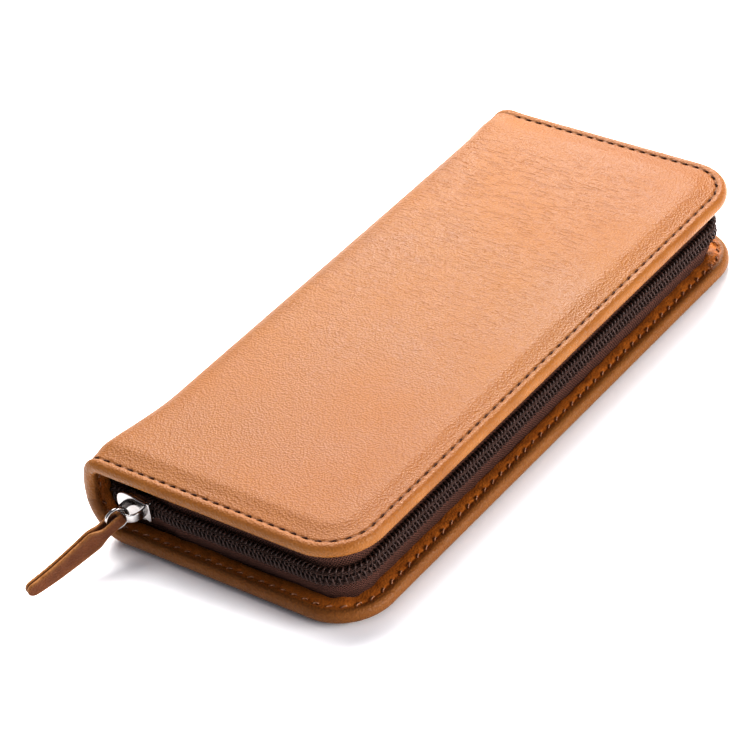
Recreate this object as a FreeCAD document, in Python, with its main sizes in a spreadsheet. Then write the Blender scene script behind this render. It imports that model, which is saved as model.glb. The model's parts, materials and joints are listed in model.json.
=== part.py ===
"""Stiff-sided leather pen case with a zip round three sides, as a parametric assembly.

Frame: X across the case with the spine at -X and the opening edge at +X, Y along the case with the
closed end of the zip at -Y, Z up. The origin is the centre of the footprint, on the underside.
Two mirrored covers fold on a spine panel. The zip's chain runs at mid-height, from the spine along the
near end (-Y), round the opening edge (+X) and back along the far end (+Y). Millimetres throughout.
"""

import FreeCAD, Part
import math
import os
import re
import Sketcher

DIMENSIONS = {
    # Case
    "length": 165.0,  # along Y
    "width": 78.0,  # along X, over the spine and the opening edge
    "thickness": 25.4,  # over both covers
    "corner_radius": 13.5,  # plan corners at the opening edge
    "fold_radius": 5.0,  # outer radius of the two spine bends
    "fold_clearance": 0.2,  # how far each panel stops short of its bend
    # Leather and seam
    "leather": 1.3,  # outer leather
    "hem": 1.5,  # turned-in leather on the inner side of the lip
    "crown": 1.1,  # how far the panel stands above the pressed seam
    "hem_width": 5.7,
    "lip_width": 7.5,  # pressed border of each cover
    "edge_width": 1.5,  # solid fold of the leather at its edge
    "bead_radius": 1.1,
    "seam_inset": 2.6,
    "stitch_pitch": 3.3,
    "stitch_length": 2.4,
    "thread": 0.4,
    # Inside the covers
    "board": 1.6,
    "board_inset": 7.8,
    "lining": 0.6,
    "lining_inset": 6.6,
    "spine_side": 1.0,  # boards, linings and tapes stop this far inside the fold axis
    # Zip
    "tape": 0.5,
    "tape_root_inset": 2.2,
    "tape_inset": 4.8,  # outer face of the upright part of the tape
    "tape_upright": 4.5,  # height of the upright part, below the chain's middle
    "coil_depth": 2.0,
    "coil_height": 2.1,
    "coil_gap": 1.0,  # between the two coils, for the slider's blade
    # Slider
    "slider_place": -26.4,  # X of its middle, with the zip closed
    "slider_length": 10.0,
    "slider_plate": 1.2,
    "slider_back": 1.0,
    "slider_clearance": 0.3,
    "slider_flange": 0.8,
    "plate_corner": 2.0,  # radius of the plates' corners
    "blade": 0.6,
    "blade_length": 3.0,
    "bridge_length": 6.6,
    "bridge_height": 3.0,
    "bridge_metal": 0.7,
    "bridge_width": 2.4,
    # Pull
    "ring_radius": 2.8,  # to the middle of the wire
    "ring_wire": 1.0,
    "ring_seat": 1.2,  # middle of the wire above the slider's plate
    "pull_yaw": 26.0,  # degrees, towards the spine
    "pull_droop": 22.5,  # degrees, below level
    "strap_thickness": 2.4,
    "strap_height": 5.5,
    "strap_shoulder": 3.0,  # radius of the edges where the strap has widened
    "strap_widened": 6.6,  # from the ring's middle to the strap's full height
    "strap_tip_height": 3.0,
    "strap_tip_radius": 1.3,
    "strap_length": 25.8,  # from the ring's middle to the tip
    "loop_hole": 1.5,
    "loop_hole_radius": 0.68,
    "loop_radius": 1.42,  # outer corners of the loop's closed end
    "loop_shoulder": 1.0,
    "loop_widest": 3.8,  # from the ring's middle to where the loop starts to close
    "loop_closed": 6.8,  # from the ring's middle to where both layers lie together
    "loop_web": 0.2,  # leather between the loop's hole and the full strap
    "loop_leather": 0.75,
    "loop_height": 2.8,
    "loop_reach": 1.5,  # inner end of the loop's hole, from the ring's middle
    # Spine
    "spine_hem_width": 7.0,
    "spine_hem": 1.0,
    # Pen loops
    "pen_diameter": 13.0,
    "loop_pitch": 19.5,
    "elastic": 1.0,
    "elastic_width": 25.0,
    "elastic_rise": 6.5,  # straight part of each loop's sides
    # Slip pocket
    "pocket_width": 56.0,
    "pocket_length": 90.0,
    "pocket_sheet": 0.8,
    "pocket_gap": 0.6,
    "pocket_rim": 3.0,
}
PEN_LOOPS = 3
ARCH = "0.999"  # share of its room that each quarter of an arch takes

doc = FreeCAD.newDocument("zip_pen_case")
sizes = doc.addObject("Spreadsheet::Sheet", "Sizes")
for row, (alias, value) in enumerate(DIMENSIONS.items(), start=1):
    sizes.set(f"A{row}", alias)
    sizes.set(f"B{row}", str(value))
    sizes.setAlias(f"B{row}", alias)
doc.recompute()
parts = []


def cell(text):
    """An expression in which each dimension's name stands for its cell."""
    return re.sub("[a-z_]+", lambda word: f"Sizes.{word[0]}" if word[0] in DIMENSIONS else word[0], text)


def value(text):
    """The number that such an expression gives."""
    return float(sizes.evalExpression(cell(text)))


# ---------------------------------------------------------------- bodies, sketches and features


def new_body(label):
    body = doc.addObject("PartDesign::Body", label)
    body.Label = label
    parts.append(body)
    return body


def new_sketch(body, name, plane, offset):
    """A sketch on one of the body's origin planes, moved by three expressions in the plane's own axes."""
    sketch = body.newObject("Sketcher::SketchObject", f"{body.Label}_{name}")
    base = next(f for f in body.Origin.OriginFeatures if f.Role == plane)
    sketch.AttachmentSupport = [(base, "")]
    sketch.MapMode = "FlatFace"
    for axis, text in zip("xyz", offset):
        sketch.setExpression(f"AttachmentOffset.Base.{axis}", cell(text))
    return sketch


def fix_corner(sketch, corner):
    """A construction point held at its two expressions."""
    here = FreeCAD.Vector(value(corner[0]), value(corner[1]), 0)
    point = sketch.addGeometry(Part.Point(here), True)
    for kind, place, text in (("DistanceX", here.x, corner[0]), ("DistanceY", here.y, corner[1])):
        index = sketch.addConstraint(Sketcher.Constraint(kind, -1, 1, point, 1, place))
        sketch.setExpression(f"Constraints[{index}]", cell(text))
    return point, here


def corner_arc(before, corner, after, radius):
    """The arc that rounds a corner, its first and last points, and whether it runs with the outline."""
    towards = (before - corner).normalize()
    away = (after - corner).normalize()
    half_angle = towards.getAngle(away) / 2
    first = corner + towards * (radius / math.tan(half_angle))
    last = corner + away * (radius / math.tan(half_angle))
    centre = corner + (towards + away).normalize() * (radius / math.sin(half_angle))
    with_outline = towards.cross(away).z < 0
    start, end = (first, last) if with_outline else (last, first)
    angles = [math.atan2(p.y - centre.y, p.x - centre.x) for p in (start, end)]
    circle = Part.Circle(centre, FreeCAD.Vector(0, 0, 1), radius)
    return Part.ArcOfCircle(circle, angles[0], angles[1]), first, last, with_outline


def draw_outline(sketch, corners, closed=True):
    """Straight lines through corners (x, y) or (x, y, radius), each value an expression."""
    fixed = [fix_corner(sketch, corner) for corner in corners]
    count = len(corners)
    ends = {}
    arcs = {}
    for i, corner in enumerate(corners):
        here = fixed[i][1]
        if len(corner) == 3:
            before, after = fixed[i - 1][1], fixed[(i + 1) % count][1]
            arc, first, last, with_outline = corner_arc(before, here, after, value(corner[2]))
            arcs[i] = (sketch.addGeometry(arc, False), with_outline)
            ends[i] = (first, last)
        else:
            ends[i] = (here, here)
    for i in range(count if closed else count - 1):
        after = (i + 1) % count
        line = sketch.addGeometry(Part.LineSegment(ends[i][1], ends[after][0]), False)
        for corner, line_end, arc_ends in ((i, 1, (2, 1)), (after, 2, (1, 2))):
            point = fixed[corner][0]
            if corner not in arcs:
                sketch.addConstraint(Sketcher.Constraint("Coincident", line, line_end, point, 1))
                continue
            arc, with_outline = arcs[corner]
            arc_end = arc_ends[0] if with_outline else arc_ends[1]
            sketch.addConstraint(Sketcher.Constraint("PointOnObject", point, 1, line))
            sketch.addConstraint(Sketcher.Constraint("Tangent", line, line_end, arc, arc_end))
    for i, (arc, _) in arcs.items():
        index = sketch.addConstraint(Sketcher.Constraint("Radius", arc, value(corners[i][2])))
        sketch.setExpression(f"Constraints[{index}]", cell(corners[i][2]))


def extrude(body, name, kind, sketch, length, midplane=False, flip=False):
    """A Pad or Pocket of a sketch, by an expression."""
    feature = body.newObject(f"PartDesign::{kind}", f"{body.Label}_{name}")
    feature.Profile = sketch
    feature.SideType = "Symmetric" if midplane else "One side"
    feature.Reversed = flip
    feature.setExpression("Length", cell(length))
    return feature


def pad_outline(body, name, plane, offset, corners, length, **options):
    sketch = new_sketch(body, f"{name}_sketch", plane, offset)
    draw_outline(sketch, corners)
    return extrude(body, name, "Pad", sketch, length, **options)


def cut_outline(body, name, plane, offset, corners, length, **options):
    sketch = new_sketch(body, f"{name}_sketch", plane, offset)
    draw_outline(sketch, corners)
    doc.recompute()
    volume = body.Shape.Volume
    feature = extrude(body, name, "Pocket", sketch, length, **options)
    doc.recompute()
    if body.Shape.Volume >= volume:
        raise RuntimeError(f"{body.Label}: {name} cuts nothing")
    return feature


# ---------------------------------------------------------------- shared outlines


FOLD_X = "(fold_radius - width / 2)"
HALF_LENGTH = "length / 2"
HALF_WIDTH = "width / 2"


def height(side, level):
    """The height of a level that is measured from the outer face of a cover."""
    return level if side == "lower" else f"thickness - ({level})"


def panel_corners(start, inset):
    """A cover's plan from X = start to the opening edge, drawn in by inset on its three zip sides."""
    far = f"{HALF_LENGTH} - {inset}"
    right = f"{HALF_WIDTH} - {inset}"
    radius = f"corner_radius - {inset}"
    return [
        (start, f"- ({far})"),
        (right, f"- ({far})", radius),
        (right, far, radius),
        (start, far),
    ]


def pad_panel(body, name, side, start, inset, bottom, thickness):
    """A flat panel whose outer face is at the level `bottom` of its cover."""
    low = bottom if side == "lower" else f"thickness - ({bottom}) - {thickness}"
    offset = ("0", "0", low)
    return pad_outline(body, name, "XY_Plane", offset, panel_corners(start, inset), thickness)


def sweep_round(body, name, start, section):
    """A section in (inset, height) swept along the three zip sides from X = start."""
    path = new_sketch(body, f"{name}_path", "XY_Plane", ("0", "0", "0"))
    draw_outline(path, panel_corners(start, "0"), closed=False)
    offset = (f"- {HALF_LENGTH}", "0", start)
    profile = new_sketch(body, f"{name}_section", "YZ_Plane", offset)
    draw_outline(profile, section)
    doc.recompute()
    pipe = body.newObject("PartDesign::AdditivePipe", f"{body.Label}_{name}")
    pipe.Profile = profile
    pipe.Spine = (path, [f"Edge{i + 1}" for i in range(len(path.Shape.Edges))])
    return pipe


# ---------------------------------------------------------------- covers


PANEL_START = f"{FOLD_X} + fold_clearance"
INNER_START = f"{FOLD_X} + spine_side"
TAPE_LEVEL = "crown + leather"
HEM_LEVEL = f"{TAPE_LEVEL} + tape"
LIP_LEVEL = f"{HEM_LEVEL} + hem"
CHAIN_LEVEL = "thickness / 2"
LINING_LEVEL = "leather + board"
LINED_LEVEL = f"{LINING_LEVEL} + lining"


def outer_leather(side):
    """Cover panel with its pressed border folded round the edge to a hem, and the tape's slot between."""
    body = new_body(f"{side}_outer_leather")
    section = [
        ("0", "crown"),
        ("lip_width", "crown"),
        ("lip_width", TAPE_LEVEL),
        ("edge_width", TAPE_LEVEL),
        ("edge_width", HEM_LEVEL),
        ("hem_width", HEM_LEVEL),
        ("hem_width", LIP_LEVEL),
        ("0", LIP_LEVEL),
    ]
    rounded = {0: "bead_radius", 7: "bead_radius"}
    corners = [
        (inset, height(side, level)) + ((rounded[i],) if i in rounded else ())
        for i, (inset, level) in enumerate(section)
    ]
    sweep_round(body, "border", PANEL_START, corners)
    pad_panel(body, "panel", side, PANEL_START, "lip_width / 2", "0", "leather")
    return body


def stiffener_board(side):
    body = new_body(f"{side}_stiffener_board")
    pad_panel(body, "panel", side, INNER_START, "board_inset", "leather", "board")
    return body


def cover_lining(side):
    body = new_body(f"{side}_lining")
    pad_panel(body, "panel", side, INNER_START, "lining_inset", LINING_LEVEL, "lining")
    return body


def zip_tape(side):
    """Woven tape from its root inside the lip, out past the hem and up to the chain."""
    body = new_body(f"{side}_zip_tape")
    top = f"{CHAIN_LEVEL} - coil_gap / 2"
    knee = f"{CHAIN_LEVEL} - tape_upright"
    section = [
        ("tape_root_inset", TAPE_LEVEL),
        ("hem_width + tape", TAPE_LEVEL),
        ("hem_width + tape", LIP_LEVEL),
        ("tape_inset + tape", knee),
        ("tape_inset + tape", top),
        ("tape_inset", top),
        ("tape_inset", knee),
        ("hem_width", LIP_LEVEL),
        ("hem_width", HEM_LEVEL),
        ("tape_root_inset", HEM_LEVEL),
    ]
    sweep_round(body, "wall", INNER_START, [(inset, height(side, z)) for inset, z in section])
    return body


def zip_coil(side):
    """One half of the chain, as the block that its coil fills, on the outer face of the tape."""
    body = new_body(f"{side}_zip_coil")
    top = f"{CHAIN_LEVEL} - coil_gap / 2"
    low = f"{top} - coil_height"
    outer = "tape_inset - coil_depth"
    section = [(outer, low), ("tape_inset", low), ("tape_inset", top), (outer, top)]
    sweep_round(body, "chain", INNER_START, [(inset, height(side, z)) for inset, z in section])
    return body


# ---------------------------------------------------------------- spine


SPINE_LOW = "fold_radius + fold_clearance"
SPINE_FACE = "- width / 2"


def upright_corners(start, end):
    """A rectangle in (Y, Z) over the height of the spine panel."""
    top = f"thickness - ({SPINE_LOW})"
    return [(start, SPINE_LOW), (end, SPINE_LOW), (end, top), (start, top)]


def spine_leather():
    """Spine panel with its two ends turned in."""
    body = new_body("spine_leather")
    full = upright_corners(f"- {HALF_LENGTH}", HALF_LENGTH)
    pad_outline(body, "panel", "YZ_Plane", ("0", "0", SPINE_FACE), full, "leather")
    inner = ("0", "0", f"{SPINE_FACE} + leather")
    near = upright_corners(f"- {HALF_LENGTH}", f"- ({HALF_LENGTH}) + spine_hem_width")
    far = upright_corners(f"{HALF_LENGTH} - spine_hem_width", HALF_LENGTH)
    for name, corners in (("near_hem", near), ("far_hem", far)):
        pad_outline(body, name, "YZ_Plane", inner, corners, "spine_hem")
    return body


def spine_lining():
    body = new_body("spine_lining")
    end = f"({HALF_LENGTH} - spine_hem_width)"
    inner = ("0", "0", f"{SPINE_FACE} + leather")
    pad_outline(body, "panel", "YZ_Plane", inner, upright_corners(f"- {end}", end), "lining")
    return body


def spine_bend(side):
    """Leather that bends through a right angle between a cover and the spine panel."""
    body = new_body(f"{side}_spine_bend")
    section = [
        (PANEL_START, "0"),
        (SPINE_FACE, "0", "fold_radius"),
        (SPINE_FACE, SPINE_LOW),
        (f"{SPINE_FACE} + leather", SPINE_LOW),
        (f"{SPINE_FACE} + leather", "leather", "fold_radius - leather"),
        (PANEL_START, "leather"),
    ]
    corners = [(c[0], height(side, c[1])) + tuple(c[2:]) for c in section]
    origin = ("0", "0", "0")
    pad_outline(body, "bend", "XZ_Plane", origin, corners, "length", midplane=True)
    return body


# ---------------------------------------------------------------- slider and pull


SLIDER_OUTER = "tape_inset - coil_depth - slider_clearance"  # inset of the cavity's outer side
SLIDER_INNER = "tape_inset + tape + slider_clearance"  # inset of the cavity's inner side
SLIDER_FACE = f"- {HALF_LENGTH} + {SLIDER_OUTER} - slider_plate"  # Y of the front face
FLANGE_TOP = f"{CHAIN_LEVEL} - coil_gap / 2 - coil_height - slider_clearance"


def slider_body():
    """Two plates joined by the blade between the coils, with a lower flange under the lower coil."""
    body = new_body("slider_body")
    left = "slider_place - slider_length / 2"
    right = "slider_place + slider_length / 2"
    low = f"{FLANGE_TOP} - slider_flange"
    top = f"thickness - ({low})"
    plate = [(x, z, "plate_corner") for x, z in ((left, low), (right, low), (right, top), (left, top))]
    front = ("0", "0", f"{HALF_LENGTH} - ({SLIDER_OUTER})")
    back = ("0", "0", f"{HALF_LENGTH} - ({SLIDER_INNER}) - slider_back")
    blade_low = f"{CHAIN_LEVEL} - blade / 2"
    blade_top = f"{CHAIN_LEVEL} + blade / 2"
    blade_end = f"{left} + blade_length"
    blade = [(left, blade_low), (blade_end, blade_low), (blade_end, blade_top), (left, blade_top)]
    reach = f"{SLIDER_INNER} - ({SLIDER_OUTER})"
    flange = [
        (f"{left} + plate_corner", low),
        (f"{right} - plate_corner", low),
        (f"{right} - plate_corner", FLANGE_TOP),
        (f"{left} + plate_corner", FLANGE_TOP),
    ]
    pad_outline(body, "front_plate", "XZ_Plane", front, plate, "slider_plate")
    pad_outline(body, "blade", "XZ_Plane", front, blade, reach, flip=True)
    pad_outline(body, "back_plate", "XZ_Plane", back, plate, "slider_back")
    pad_outline(body, "flange", "XZ_Plane", front, flange, "coil_depth", flip=True)
    return body


def slider_bridge():
    """Arched strap over the front plate, which holds the ring."""
    body = new_body("slider_bridge")
    half = "bridge_length / 2"
    shoulder = "bridge_height / 2"
    outer = [(f"- {half}", "0"), (f"- {half}", "- bridge_height", shoulder)]
    outer += [(half, "- bridge_height", shoulder), (half, "0")]
    foot = f"({half} - bridge_metal)"
    roof = "- bridge_height + bridge_metal"
    inner_shoulder = f"{shoulder} - bridge_metal"
    inner = [(foot, "0"), (foot, roof, inner_shoulder)]
    inner += [(f"- {foot}", roof, inner_shoulder), (f"- {foot}", "0")]
    offset = ("slider_place", SLIDER_FACE, CHAIN_LEVEL)
    pad_outline(body, "arch", "XY_Plane", offset, outer + inner, "bridge_width", midplane=True)
    return body


def set_pull_frame(part, with_droop):
    """Put a part at the ring's middle, its X axis along the pull and its Z axis up."""
    part.setExpression("Placement.Base.x", cell("slider_place - ring_radius * sin(pull_yaw)"))
    swing = "ring_radius * cos(pull_yaw)"
    part.setExpression("Placement.Base.y", cell(f"{SLIDER_FACE} - ring_seat - {swing}"))
    part.setExpression("Placement.Base.z", cell(CHAIN_LEVEL))
    droop = value("pull_droop") if with_droop else 0
    part.Placement.Rotation = FreeCAD.Rotation(-90 - value("pull_yaw"), droop, 0)


def pull_ring():
    """Closed wire ring through the bridge, upright, in the plane of the pull."""
    ring = new_body("pull_ring")
    sketch = new_sketch(ring, "wire_sketch", "XY_Plane", ("0", "0", "0"))
    centre = FreeCAD.Vector(value("ring_radius"), 0, 0)
    circle = Part.Circle(centre, FreeCAD.Vector(0, 0, 1), value("ring_wire / 2"))
    wire = sketch.addGeometry(circle, False)
    sketch.addConstraint(Sketcher.Constraint("PointOnObject", wire, 3, -1))
    reach = sketch.addConstraint(Sketcher.Constraint("DistanceX", -1, 1, wire, 3, centre.x))
    size = sketch.addConstraint(Sketcher.Constraint("Radius", wire, value("ring_wire / 2")))
    sketch.setExpression(f"Constraints[{reach}]", cell("ring_radius"))
    sketch.setExpression(f"Constraints[{size}]", cell("ring_wire / 2"))
    turn = ring.newObject("PartDesign::Revolution", "pull_ring_turn")
    turn.Profile = sketch
    y_axis = next(f for f in ring.Origin.OriginFeatures if f.Role == "Y_Axis")
    turn.ReferenceAxis = (y_axis, [""])
    turn.Angle = 360
    set_pull_frame(ring, with_droop=False)
    return ring


def pull_strap():
    """Leather strap folded double round the ring, tapering to a rounded tip."""
    body = new_body("pull_strap")
    wide = "strap_height / 2"
    narrow = "strap_tip_height / 2"
    neck = "loop_height / 2"
    start = "ring_radius + loop_hole / 2 + loop_web"
    side_view = [
        (start, f"- {neck}"),
        ("strap_widened", f"- {wide}", "strap_shoulder"),
        ("strap_length", f"- {narrow}", "strap_tip_radius"),
        ("strap_length", narrow, "strap_tip_radius"),
        ("strap_widened", wide, "strap_shoulder"),
        (start, neck),
    ]
    plan_half = "strap_thickness / 2"
    pad_outline(body, "strap", "XZ_Plane", ("0", "0", "0"), side_view, "strap_thickness", midplane=True)
    inner_end = "loop_reach - loop_leather"
    loop_half = "(loop_hole / 2 + loop_leather)"
    loop = [
        (inner_end, f"- {loop_half}", "loop_radius"),
        ("loop_widest", f"- {loop_half}", "loop_shoulder"),
        ("loop_closed", f"- {plan_half}"),
        ("loop_closed", plan_half),
        ("loop_widest", loop_half, "loop_shoulder"),
        (inner_end, loop_half, "loop_radius"),
    ]
    pad_outline(body, "loop", "XY_Plane", ("0", "0", "0"), loop, "loop_height", midplane=True)
    hole_end = "ring_radius + loop_hole / 2"
    hole = [
        ("loop_reach", "- loop_hole / 2", "loop_hole_radius"),
        (hole_end, "- loop_hole / 2", "loop_hole_radius"),
        (hole_end, "loop_hole / 2", "loop_hole_radius"),
        ("loop_reach", "loop_hole / 2", "loop_hole_radius"),
    ]
    cut_outline(body, "eye", "XY_Plane", ("0", "0", "0"), hole, "loop_height * 2", midplane=True)
    set_pull_frame(body, with_droop=True)
    return body


# ---------------------------------------------------------------- fittings inside


def pen_loop_band():
    """Elastic band raised into a row of pen loops across the lower cover."""
    body = new_body("pen_loop_band")
    inner = "pen_diameter / 2"
    outer = f"({inner} + elastic)"
    top = f"{LINED_LEVEL} + elastic_rise + {inner}"
    foot = "loop_pitch / 2"
    foot_top = f"{LINED_LEVEL} + elastic"
    left_outer = [(f"- {foot}", LINED_LEVEL), (f"- {foot}", foot_top), (f"- {outer}", foot_top)]
    crest = f"{top} + elastic"
    roof = [(f"- {outer}", crest, f"{outer} * {ARCH}"), (outer, crest, f"{outer} * {ARCH}")]
    right_outer = [(outer, foot_top), (foot, foot_top), (foot, LINED_LEVEL), (inner, LINED_LEVEL)]
    ceiling = [(inner, top, f"{inner} * {ARCH}"), (f"- {inner}", top, f"{inner} * {ARCH}")]
    corners = left_outer + roof + right_outer + ceiling + [(f"- {inner}", LINED_LEVEL)]
    first = f"- (loop_pitch * {(PEN_LOOPS - 1) / 2})"
    loop = pad_outline(body, "loop", "XZ_Plane", (first, "0", "0"), corners, "elastic_width", midplane=True)
    row = body.newObject("PartDesign::LinearPattern", "pen_loop_band_row")
    row.Originals = [loop]
    x_axis = next(f for f in body.Origin.OriginFeatures if f.Role == "X_Axis")
    row.Direction = (x_axis, [""])
    row.setExpression("Length", cell(f"loop_pitch * {PEN_LOOPS - 1}"))
    row.Occurrences = PEN_LOOPS
    body.Tip = row
    return body


def slip_pocket():
    """Flat pocket on the upper cover's lining, open towards the opening edge."""
    body = new_body("slip_pocket")
    half_width = "pocket_width / 2"
    half_length = "pocket_length / 2"
    sheet = [
        (f"- {half_width}", f"- {half_length}"),
        (half_width, f"- {half_length}"),
        (half_width, half_length),
        (f"- {half_width}", half_length),
    ]
    rim = [
        (f"- {half_width}", f"- {half_length}"),
        (half_width, f"- {half_length}"),
        (half_width, f"- {half_length} + pocket_rim"),
        (f"- {half_width} + pocket_rim", f"- {half_length} + pocket_rim"),
        (f"- {half_width} + pocket_rim", f"{half_length} - pocket_rim"),
        (half_width, f"{half_length} - pocket_rim"),
        (half_width, half_length),
        (f"- {half_width}", half_length),
    ]
    under_gap = f"thickness - ({LINED_LEVEL}) - pocket_gap"
    pad_outline(body, "rim", "XY_Plane", ("0", "0", under_gap), rim, "pocket_gap")
    low = f"{under_gap} - pocket_sheet"
    pad_outline(body, "sheet", "XY_Plane", ("0", "0", low), sheet, "pocket_sheet")
    return body


# ---------------------------------------------------------------- threads


def add_stitches(label, stitches):
    """One part made of many separate stitches."""
    part = doc.addObject("Part::Feature", label)
    part.Label = label
    part.Shape = Part.makeCompound(stitches)
    parts.append(part)
    return part


def stitch_run(points, rise):
    """Stitches between neighbouring points, each standing on the surface and `rise` thick."""
    thread = value("thread")
    length = value("stitch_length")
    stitches = []
    for start, end in zip(points, points[1:]):
        along = (end - start).normalize()
        middle = (start + end) * 0.5
        across = along.cross(rise.normalize() if rise.Length else rise)
        corner = middle - along * (length / 2) - across * (thread / 2)
        corners = [corner, corner + along * length, corner + along * length + across * thread]
        corners += [corner + across * thread, corner]
        stitches.append(Part.Face(Part.makePolygon(corners)).extrude(rise * thread))
    return stitches


def even_points(path):
    """Points one stitch pitch apart along a path."""
    return path.discretize(Number=round(path.Length / value("stitch_pitch")) + 1)


def seam_path(level):
    """The seam's line round the three zip sides, at a height."""
    inset = value("seam_inset")
    right = value(HALF_WIDTH) - inset
    far = value(HALF_LENGTH) - inset
    start = value(INNER_START)
    radius = value("corner_radius") - inset
    bend = right - radius
    middle = bend + radius * math.sqrt(0.5)
    side = far - radius
    across = side + radius * math.sqrt(0.5)

    def at(x, y):
        return FreeCAD.Vector(x, y, level)

    return Part.Wire([
        Part.makeLine(at(start, -far), at(bend, -far)),
        Part.Arc(at(bend, -far), at(middle, -across), at(right, -side)).toShape(),
        Part.makeLine(at(right, -side), at(right, side)),
        Part.Arc(at(right, side), at(middle, across), at(bend, far)).toShape(),
        Part.makeLine(at(bend, far), at(start, far)),
    ])


def seam_thread(side):
    """Lockstitch seam: needle thread on the outer face and bobbin thread on the hem."""
    outer = FreeCAD.Vector(0, 0, -1 if side == "lower" else 1)
    faces = ((height(side, "crown"), outer), (height(side, LIP_LEVEL), -outer))
    stitches = []
    for level, away in faces:
        stitches += stitch_run(even_points(seam_path(value(level))), away)
    return add_stitches(f"{side}_seam_thread", stitches)


def straight_path(start, end):
    return Part.Wire([Part.makeLine(FreeCAD.Vector(*start), FreeCAD.Vector(*end))])


def spine_end_thread():
    """Stitching that holds down the turned-in ends of the spine panel."""
    face = value(f"{SPINE_FACE} + leather + spine_hem")
    low = value(SPINE_LOW)
    top = value("thickness") - low
    inward = FreeCAD.Vector(1, 0, 0)
    stitches = []
    for end in (-1, 1):
        y = end * value(f"{HALF_LENGTH} - seam_inset")
        stitches += stitch_run(even_points(straight_path((face, y, low), (face, y, top))), inward)
    return add_stitches("spine_end_thread", stitches)


def pen_loop_thread():
    """Rows of stitches that hold the elastic down on both sides of every loop."""
    level = value(f"{LINED_LEVEL} + elastic")
    half = value("elastic_width / 2") - value("stitch_pitch") / 2
    flat = value("loop_pitch") - value("pen_diameter") - 2 * value("elastic")
    up = FreeCAD.Vector(0, 0, 1)
    stitches = []
    for gap in range(PEN_LOOPS + 1):
        x = (gap - PEN_LOOPS / 2) * value("loop_pitch")
        x += flat / 4 if gap == 0 else -flat / 4 if gap == PEN_LOOPS else 0
        stitches += stitch_run(even_points(straight_path((x, -half, level), (x, half, level))), up)
    return add_stitches("pen_loop_thread", stitches)


def slip_pocket_thread():
    """Stitches round the three closed sides of the slip pocket."""
    level = value(f"thickness - ({LINED_LEVEL}) - pocket_gap - pocket_sheet")
    x = value("pocket_width / 2 - pocket_rim / 2")
    y = value("pocket_length / 2 - pocket_rim / 2")
    down = FreeCAD.Vector(0, 0, -1)
    route = [(x, -y, level), (-x, -y, level), (-x, y, level), (x, y, level)]
    stitches = []
    for start, end in zip(route, route[1:]):
        stitches += stitch_run(even_points(straight_path(start, end)), down)
    return add_stitches("slip_pocket_thread", stitches)


# ---------------------------------------------------------------- assembly


def build():
    for side in ("lower", "upper"):
        outer_leather(side)
        stiffener_board(side)
        cover_lining(side)
        zip_tape(side)
        zip_coil(side)
        spine_bend(side)
        seam_thread(side)
    spine_leather()
    spine_lining()
    spine_end_thread()
    slider_body()
    slider_bridge()
    pull_ring()
    pull_strap()
    pen_loop_band()
    pen_loop_thread()
    slip_pocket()
    slip_pocket_thread()
    doc.recompute()


def check():
    """Stop if any object failed or any sub-part's shape is missing or broken."""
    for item in doc.Objects:
        if "Invalid" in item.State or "Error" in item.State:
            raise RuntimeError(f"{item.Name} failed: {item.State}")
    for part in parts:
        if part.Shape.isNull() or not part.Shape.isValid():
            raise RuntimeError(f"{part.Label} has no valid shape")


build()
check()
os.makedirs("parts", exist_ok=True)
for part in parts:
    part.Shape.exportStep(f"parts/{part.Label}.step")
    box = part.Shape.BoundBox
    low_corner = f"{box.XMin:.2f} {box.YMin:.2f} {box.ZMin:.2f}"
    high_corner = f"{box.XMax:.2f} {box.YMax:.2f} {box.ZMax:.2f}"
    print(f"{part.Label}: {len(part.Shape.Solids)} solids, from {low_corner} to {high_corner}")
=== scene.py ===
import json
import math

import bmesh
import bpy
import numpy as np
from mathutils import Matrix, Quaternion, Vector


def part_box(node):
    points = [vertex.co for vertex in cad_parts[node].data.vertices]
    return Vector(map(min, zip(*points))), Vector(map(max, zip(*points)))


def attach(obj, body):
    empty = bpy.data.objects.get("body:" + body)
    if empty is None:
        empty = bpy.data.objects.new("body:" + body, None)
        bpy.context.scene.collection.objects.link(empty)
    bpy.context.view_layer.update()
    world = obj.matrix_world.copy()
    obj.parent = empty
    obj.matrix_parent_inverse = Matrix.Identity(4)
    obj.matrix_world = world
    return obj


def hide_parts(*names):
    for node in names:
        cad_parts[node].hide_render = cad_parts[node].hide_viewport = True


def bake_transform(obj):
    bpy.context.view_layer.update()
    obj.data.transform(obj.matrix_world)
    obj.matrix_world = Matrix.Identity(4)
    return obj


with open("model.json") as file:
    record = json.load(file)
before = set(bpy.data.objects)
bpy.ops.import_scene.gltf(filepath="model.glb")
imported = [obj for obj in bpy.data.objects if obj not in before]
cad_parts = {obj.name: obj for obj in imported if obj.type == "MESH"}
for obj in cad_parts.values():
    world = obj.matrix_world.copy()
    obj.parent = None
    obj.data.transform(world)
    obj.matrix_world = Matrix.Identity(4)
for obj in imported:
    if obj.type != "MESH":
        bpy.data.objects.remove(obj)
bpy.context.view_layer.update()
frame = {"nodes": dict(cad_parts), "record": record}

MM = 0.001

# ---- sizes, in millimetres, from the frame


def corners_mm(node):
    low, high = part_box(node)
    return np.array(low) / MM, np.array(high) / MM


JOINTS = {joint["name"]: joint for joint in frame["record"]["behaviour"]["joints"]}
COVER_HIGH = corners_mm("upper_outer_leather")[1]
SPINE_X = corners_mm("spine_leather")[0][0]
SLIDER_LOW, SLIDER_HIGH = corners_mm("slider_body")
THICK = COVER_HIGH[2]
HALF_LENGTH = COVER_HIGH[1]
RIGHT = COVER_HIGH[0]
CHAIN_Z = THICK / 2

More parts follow.
